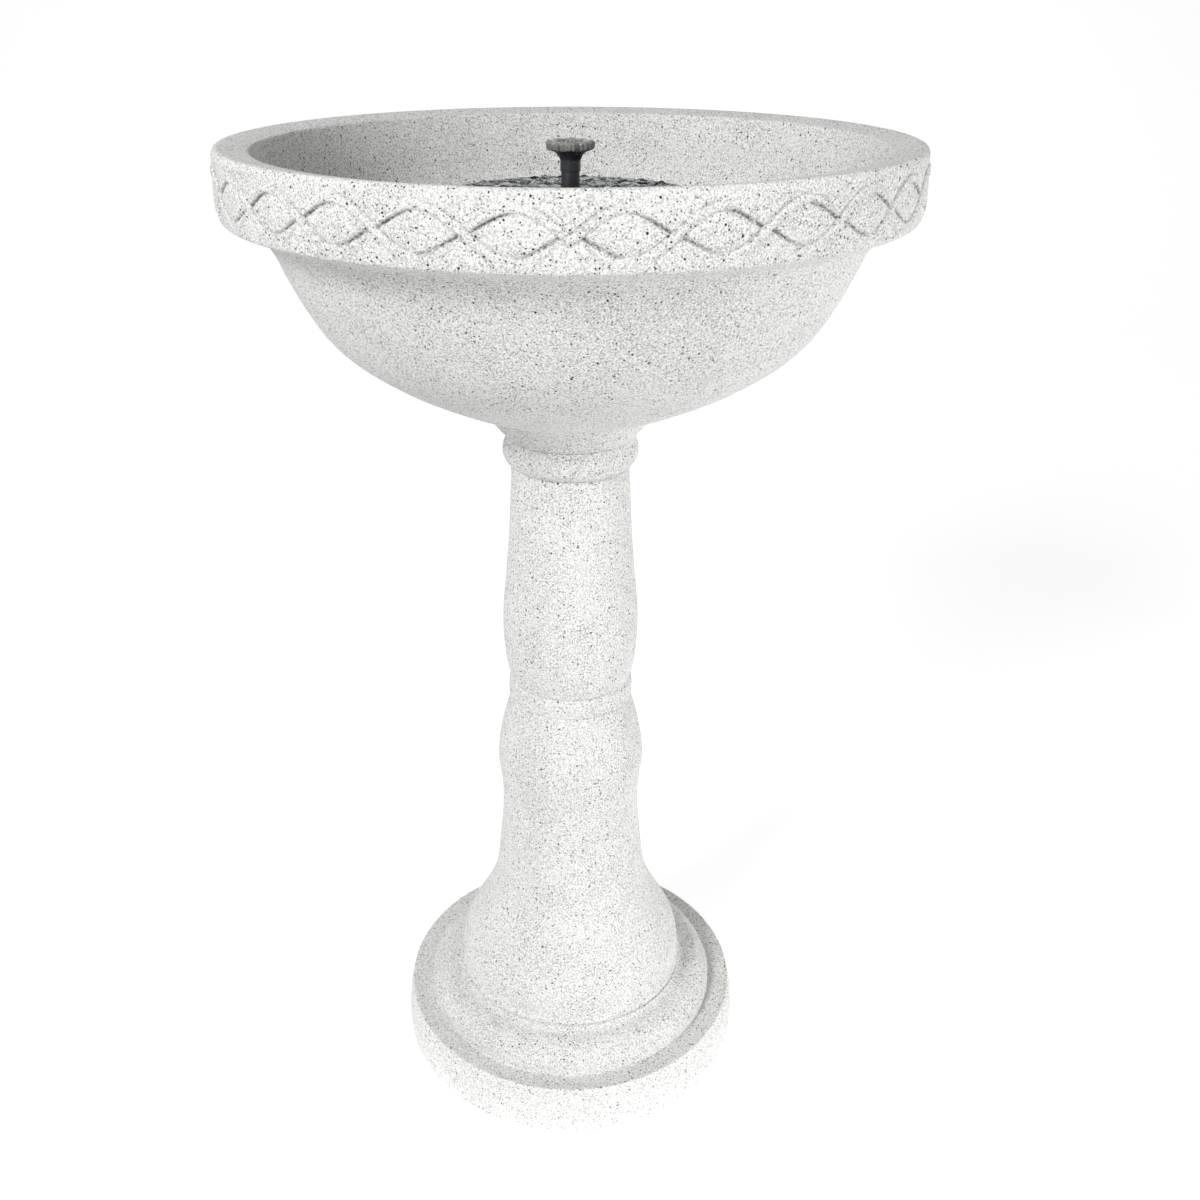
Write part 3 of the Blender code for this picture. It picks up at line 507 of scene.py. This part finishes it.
inside = np.array([
    (49.1, neckZ - 0.3), (46.0, neckZ - 0.3), (46.0, neckZ - 2.3), (35.0, neckZ - 2.3), (35.0, neckZ - 0.3),
    (u["socketR"], neckZ - 0.3), (u["socketR"], floorZ + 10.1), (u["grooveR"], floorZ + 10.1),
    (u["grooveR"], floorZ + 2), (u["socketR"], floorZ + 2), (u["socketR"], floorZ), (16, floorZ),
    (16, floorZ - 18), (rodBore, floorZ - 18), (rodBore, waistZ + 12.3), (25.3, waistZ + 12.3),
    (25.3, waistZ), (u["waistR"] - 1.0, waistZ)])
pedestalPiece("upperDrum", np.vstack([outside, inside]), 180, "upper_column")

d = lowerDrum
bead = arcPoints((d["footR"] - 3.0, footZ + 3.3), 3.0, -90, 40, 9)
flare = splinePoints([
    (d["footR"] - 1.9, footZ + 7.0), (d["footR"] - 2.1, footZ + 18), (d["footR"] - 3.4, footZ + 28),
    (d["footR"] - 6.8, footZ + 38), (d["footR"] - 12.5, footZ + 49), (d["footR"] - 19.2, footZ + 61),
    (d["footR"] - 25.6, footZ + 74), (d["footR"] - 30.8, footZ + 87), (d["footR"] - 34.2, footZ + 99),
    (d["footR"] - 36.3, footZ + 113), (61.2, 207), (58.9, 230), (58.3, 252), (59.5, 271),
    (d["bellyR"], d["bellyZ"]), (60.3, 302), (56.6, 322), (52.0, 339.5), (50.0, 346.2)], 8)
neckRing = filletPoints([(49.6, 347.6), (49.1, 349.2), (d["ringR"] + 0.1, 350.6), (d["ringR"] + 0.4, 356),
                         (d["ringR"] - 0.2, 362.0), (48.9, waistZ - 1.2), (48.4, waistZ - 0.3)],
                        [0.5, 0.6, 3.0, 2.0, 1.0], 5)
inside = np.array([(d["spigotR"], waistZ - 0.3), (d["spigotR"], waistZ + 12), (rodBore, waistZ + 12),
                   (rodBore, footZ - 12), (d["seatR"], footZ - 12), (d["seatR"], footZ + 0.3)])
pedestalPiece("lowerDrum", np.vstack([bead, evenPoints(flare, 3.0), neckRing, inside]), 240, "lower_column")

plinthShape = {"recessR": 30.0, "recessZ": 22.0, "stepZ": 43.0, "stepR": 128.5, "ledgeR": 147.0,
               "ledgeZ": 46.8, "low": 1.0}
p = plinthShape
side = filletPoints([
    (p["recessR"], p["low"]), (plinthR - 0.6, p["low"]), (plinthR, 16.0), (plinthR - 1.6, 34.0),
    (p["ledgeR"], p["ledgeZ"]), (p["stepR"], p["stepZ"] - 0.2), (p["stepR"] - 0.2, p["stepZ"] + 8.5)],
    [2.4, 7.0, 8.0, 1.2, 0.9], 8)
ovolo = splinePoints([
    (p["stepR"] - 0.4, p["stepZ"] + 8.5), (p["stepR"] - 2.4, p["stepZ"] + 13.8),
    (p["stepR"] - 6.6, p["stepZ"] + 18.6), (p["stepR"] - 12.4, p["stepZ"] + 22.0),
    (p["stepR"] - 18.8, p["stepZ"] + 23.4), (p["stepR"] - 23.4, p["stepZ"] + 23.7),
    (p["stepR"] - 26.6, p["stepZ"] + 25.0), (p["stepR"] - 27.6, footZ - 0.4)], 6)[1:]
inside = np.array([(p["stepR"] - 28.2, footZ), (40.3, footZ), (40.3, footZ - 12.3), (rodBore, footZ - 12.3),
                   (rodBore, p["recessZ"]), (p["recessR"], p["recessZ"])])
pedestalPiece("plinthCasting", np.vstack([side, ovolo, inside]), 300, "plinth")


# ---- solar pump module

print("solar panel")
trayLow, trayHigh = boxMm("panel_tray")
coverLow, coverHigh = boxMm("panel_cover")
panel = {
    "r": trayHigh[0], "top": coverHigh[2], "coverR": coverHigh[0], "boss": 11.7, "bore": 8.5,
    "wafers": 8, "waferGap": 1.6, "gapR": 50, "fingers": 3.4,
}
trayRows = filletPoints([
    (87, trayLow[2]), (panel["r"], trayLow[2]), (panel["r"], trayHigh[2] + 0.4), (86.3, trayHigh[2] + 0.1),
    (86.3, coverLow[2] - 2.5), (panel["boss"], coverLow[2] - 2.5), (panel["boss"], trayHigh[2]),
    (panel["bore"], trayHigh[2]), (panel["bore"], trayLow[2] + 3.3), (panel["boss"], trayLow[2] + 3.3),
    (panel["boss"], coverLow[2] - 5.5), (87, coverLow[2] - 5.5)],
    [0.8, 2.4, 0.3, 0.3, 0.3, 0.3, 0.3, 0.3, 0.3, 0.3], 5)
settle(turnedPiece("panelTray", trayRows, 180, blackPlastic), "pump_module", "black_plastic", "panel_tray")


# The film of water on the cover stands in ripples: z + height * fade * the mean of six plane waves,
# sin(2 pi (x cos a + y sin a) / length + phase), which die out at the boss and at the edge
ripple = {"height": 3.3, "waves": [(0.3, 17.0, 0.4), (1.25, 13.0, 2.0), (2.1, 11.0, 4.1), (2.9, 9.0, 1.3),
                                   (3.9, 23.0, 5.2), (5.0, 8.0, 3.0)]}


def rippleShape(r, z, angle):
    x, y = r * np.cos(angle), r * np.sin(angle)
    wave = sum(np.sin(math.tau * (x * math.cos(a) + y * math.sin(a)) / length + phase)
               for a, length, phase in ripple["waves"]) / len(ripple["waves"])
    fade = smoothStep(12.8, 16.0, r) * smoothStep(85.4, 81.0, r)
    return r, z + ripple["height"] * fade * wave, np.zeros_like(r)


coverTop = panel["top"]
topRows = np.stack([np.linspace(panel["coverR"] - 0.6, 12.6, 56), np.full(56, coverTop)], 1)
coverRows = np.vstack([[(12.0, coverLow[2]), (panel["coverR"], coverLow[2]), (panel["coverR"], coverTop - 0.5)],
                       topRows, [(12.0, coverTop - 0.5)]])
lowRows, wetRows, endRows = coverRows[:3], coverRows[3:-1], coverRows[-1:]
points, faces, _ = turnedArrays([{"rows": lowRows, "columns": 360},
                                 {"rows": wetRows, "columns": 360, "shape": rippleShape},
                                 {"rows": endRows, "columns": 360}])
settle(makePiece("panelCover", points, faces, clearCover), "pump_module", "clear_cover", "panel_cover")

cellLow, cellHigh = boxMm("solar_cells")
sheetRows = filletPoints([(12.4, cellLow[2]), (85.4, cellLow[2]), (85.4, cellHigh[2] - 0.5),
                          (12.4, cellHigh[2] - 0.5)], [0.2, 0.2], 3)
settle(turnedPiece("laminateBack", sheetRows, 120, backSheet), "pump_module", "solar_cell", "solar_cells")


# A thin curved plate over a sector: radius from a to b, angle between its two edges, a wall round it
def sectorPlate(rIn, rOut, start, end, low, high, steps):
    a = np.radians(np.linspace(start, end, steps))
    loop = np.vstack([np.stack([rOut * np.cos(a), rOut * np.sin(a)], 1),
                      np.stack([rIn * np.cos(a[::-1]), rIn * np.sin(a[::-1])], 1)])
    count = len(loop)
    found = np.vstack([np.c_[loop, np.full(count, low)], np.c_[loop, np.full(count, high)]])
    i = np.arange(steps - 1)
    cap = np.stack([i, i + 1, count - 2 - i, count - 1 - i], 1)
    j = np.arange(count)
    wall = np.stack([j, (j + 1) % count, (j + 1) % count + count, j + count], 1)
    return found, (cap[:, ::-1].tolist() + (cap + count).tolist() + wall.tolist())


wafers, silver = [], []
each = 360 / panel["wafers"]
edge = math.degrees(panel["waferGap"] / panel["gapR"])
for n in range(panel["wafers"]):
    wafers.append(sectorPlate(15.5, 82.5, n * each + edge, (n + 1) * each - edge, cellHigh[2] - 0.5,
                              cellHigh[2] - 0.1, 20))
    for share in (0.3, 0.7):
        middle = (n + share) * each
        silver.append(sectorPlate(17, 81.5, middle - 0.55, middle + 0.55, cellHigh[2] - 0.12,
                                  cellHigh[2] - 0.02, 3))
    for r in np.arange(19, 81, panel["fingers"]):
        silver.append(sectorPlate(r, r + 0.16, n * each + edge * 1.6, (n + 1) * each - edge * 1.6,
                                  cellHigh[2] - 0.12, cellHigh[2] - 0.05, 10))
# the wafers and their printed lines lie on the laminate's back
settle(makePiece("siliconWafers", *joinShapes(wafers), siliconFinish), "pump_module", "solar_cell")
settle(makePiece("silverLines", *joinShapes(silver), silverPaste), "pump_module", "stainless")

print("riser and spray head")
riserLow, riserHigh = boxMm("riser_tube")
riserRows = filletPoints([(4.8, riserLow[2]), (6.35, riserLow[2]), (6.35, riserHigh[2]), (4.8, riserHigh[2])],
                         [0.3, 0.3], 4)
settle(turnedPiece("riserTube", riserRows, 64, blackPlastic), "riser", "black_plastic", "riser_tube")

headTop = boxMm("spray_head")[1][2]
spray = {"petals": 8, "depth": 0.12, "ragged": 0.7, "tips": 6, "tipRing": 5.4}


# The flare's radius swells by 1 + depth * |cos(petals a / 2)| towards its edge, which also
# lifts a little at each petal's tip
def petalShape(r, z, angle):
    reach = smoothStep(10.5, 15.5, r)
    wave = np.abs(np.cos(spray["petals"] * angle / 2)) - 0.6
    ragged = spray["ragged"] * np.sin(13 * angle + 1) * np.sin(21 * angle)
    outer = r * (1 + spray["depth"] * reach * wave) + reach * ragged
    return outer, z + 0.9 * reach * wave, np.zeros_like(r)


z = headTop
headRows = np.vstack([
    [(0, z - 5.4), (4.8, z - 6.0), (4.8, z - 10.2), (6.6, z - 10.2), (6.6, z - 20.4)],
    filletPoints([(6.6, z - 20.5), (7.05, z - 20.5), (7.05, z - 13.2), (8.6, z - 10.0), (11.6, z - 7.6),
                  (15.2, z - 6.4), (15.6, z - 2.0), (13.4, z - 0.6), (10.2, z - 1.0), (9.0, z - 2.8), (0, z - 2.8)],
                 [0.15, 2.2, 2.0, 1.6, 0.9, 1.1, 0.8, 0.6, 0.7], 6)])
points, faces, _ = turnedArrays([{"rows": headRows, "columns": 192, "shape": petalShape}])
settle(makePiece("sprayHead", points, faces, nozzlePlastic, None, 50), "head", "black_plastic", "spray_head")

tipRows = filletPoints([(0, z - 3.2), (1.5, z - 3.2), (1.15, z - 0.9), (0.65, z - 0.9),
                        (0.65, z - 2.6), (0, z - 2.6)], [0.1, 0.25, 0.15, 0.1], 3)
tipPoints, tipFaces, _ = turnedArrays([{"rows": tipRows, "columns": 20}])
spots = [(0, 0, 0)] + [(spray["tipRing"] * math.cos(a), spray["tipRing"] * math.sin(a), 0)
                       for a in np.arange(spray["tips"]) * math.tau / spray["tips"]]
tipShapes = [(tipPoints + np.array(spot, float), tipFaces) for spot in spots]
tips = makePiece("sprayTips", *joinShapes(tipShapes), nozzlePlastic)
settle(tips, "head", "black_plastic")


# ---- carried-over pieces keep their CAD shape and get their own finish

carried = {
    "stainless": stainless, "black_plastic": blackPlastic, "rubber": blackRubber, "circuit": boardResin,
    "copper": copperWire, "motor_steel": motorSteel, "ferrite": ferrite, "ceramic": whiteCeramic,
    "foam": foamFinish, "cast_stone": stoneFinish, "solar_cell": siliconFinish, "clear_cover": clearCover,
}
slotOf = {row["node"]: row["material_slot"] for row in frame["record"]["subparts"]}
for name, node in frame["nodes"].items():
    node.data.materials.clear()
    node.data.materials.append(carried[slotOf[name]])
print("carried pieces finished")


# ---- floor, light and camera

# White paper: a floor that curves up into a far wall, z = lift * rise ** 2 beyond the bend. It has a
# painted glow, a light that is no lamp, behind and beside the object; none in front, where it is painted grey.
backdrop = {"half": 9.0, "front": -4.0, "bend": 3.0, "end": 6.0, "rows": 28, "paintedGlow": 0.50}


def stageFloor():
    b = backdrop
    y = np.r_[b["front"], np.linspace(-0.9, b["bend"], 4), np.linspace(b["bend"], b["end"], b["rows"])[1:]]
    z = 4.5 * (np.clip(y - b["bend"], 0, None) / (b["end"] - b["bend"])) ** 2
    points = [(side * b["half"], v, w) for v, w in zip(y, z) for side in (-1, 1)]
    faces = [(2 * i, 2 * i + 1, 2 * i + 3, 2 * i + 2) for i in range(len(y) - 1)]
    mesh = bpy.data.meshes.new("floor")
    mesh.from_pydata(points, [], faces)
    mesh.shade_smooth()
    made = bpy.data.objects.new("floor", mesh)
    bpy.context.scene.collection.objects.link(made)
    # coated paper, matt: pale with a painted glow behind and beside the object, painted grey in front and far aside
    paintedLightPaper, tree, shader = newMaterial("paperWithPaintedLight", {
        "Roughness": 0.9, "Emission Color": (1, 1, 1, 1)})
    place = addNode(tree, "SeparateXYZ", {"Vector": addNode(tree, "TexCoord").outputs["Object"]})
    near = addNode(tree, "MapRange", {"Value": place.outputs["Y"], "From Min": -0.31, "From Max": -0.22})
    across = addNode(tree, "Math", {0: place.outputs["X"]}, operation="ABSOLUTE")
    reach = addNode(tree, "Math", {0: place.outputs["Y"], 1: 0.50, 2: 1.05}, operation="MULTIPLY_ADD")
    beside = addNode(tree, "Math", {0: across.outputs[0], 1: reach.outputs[0]}, operation="SUBTRACT")
    aside = addNode(tree, "MapRange", {"Value": beside.outputs[0], "From Min": 0.0, "From Max": 0.35,
                                       "To Min": 1.0, "To Max": 0.0})
    paintedLightMask = addNode(tree, "Math", {0: near.outputs[0], 1: aside.outputs[0]}, operation="MULTIPLY")
    # painted light: the floor gives off light of its own where the mask is one, though it is no lamp
    paintedGlow = addNode(tree, "Math", {0: paintedLightMask.outputs[0], 1: b["paintedGlow"]}, operation="MULTIPLY")
    shade = addNode(tree, "Mix", {"Factor": paintedLightMask.outputs[0], "A": srgb("#A8A8A8"), "B": srgb("#F4F4F4")},
                    data_type="RGBA")
    tree.links.new(shade.outputs["Result"], shader.inputs["Base Color"])
    tree.links.new(paintedGlow.outputs[0], shader.inputs["Emission Strength"])
    mesh.materials.append(paintedLightPaper)


def areaLight(name, place, aim, size, power):
    lamp = bpy.data.lights.new(name, "AREA")
    lamp.shape = "DISK"
    lamp.size = size
    lamp.energy = power
    made = bpy.data.objects.new(name, lamp)
    made.location = place
    away = np.array(place) - np.array(aim)
    made.rotation_euler = (math.atan2(math.hypot(away[0], away[1]), away[2]), 0,
                           math.atan2(away[1], away[0]) + math.pi / 2)
    bpy.context.scene.collection.objects.link(made)


def studio():
    world = bpy.data.worlds.new("studio")
    world.use_nodes = True
    world.node_tree.nodes["Background"].inputs["Color"].default_value = (1, 1, 1, 1)
    world.node_tree.nodes["Background"].inputs["Strength"].default_value = 0.38
    bpy.context.scene.world = world
    # the low lamps stand below the rim, so only the key reaches into the bowl
    areaLight("keyLight", (-1.5, -1.8, 2.1), (0, 0, 0.6), 1.0, 52)
    areaLight("lowRight", (2.2, -1.4, 0.40), (0, 0, 0.55), 0.6, 32)
    areaLight("lowFront", (0.3, -2.7, 0.38), (0, 0, 0.55), 0.6, 4)
    bpy.context.scene.view_settings.view_transform = "Standard"


def mainCamera():
    view = {"focal": 36.98, "distance": 0.8868, "height": 0.8746, "pitch": 26.542, "shift": 0.0246}
    data = bpy.data.cameras.new("camera")
    data.lens = view["focal"]
    data.sensor_width = 36
    data.shift_x = view["shift"]
    data.clip_start = 0.01
    made = bpy.data.objects.new("camera", data)
    made.location = (0, -view["distance"], view["height"])
    made.rotation_euler = (math.radians(90 - view["pitch"]), 0, 0)
    bpy.context.scene.collection.objects.link(made)
    bpy.context.scene.camera = made


print("studio")
stageFloor()
studio()
mainCamera()

bpy.context.view_layer.update()
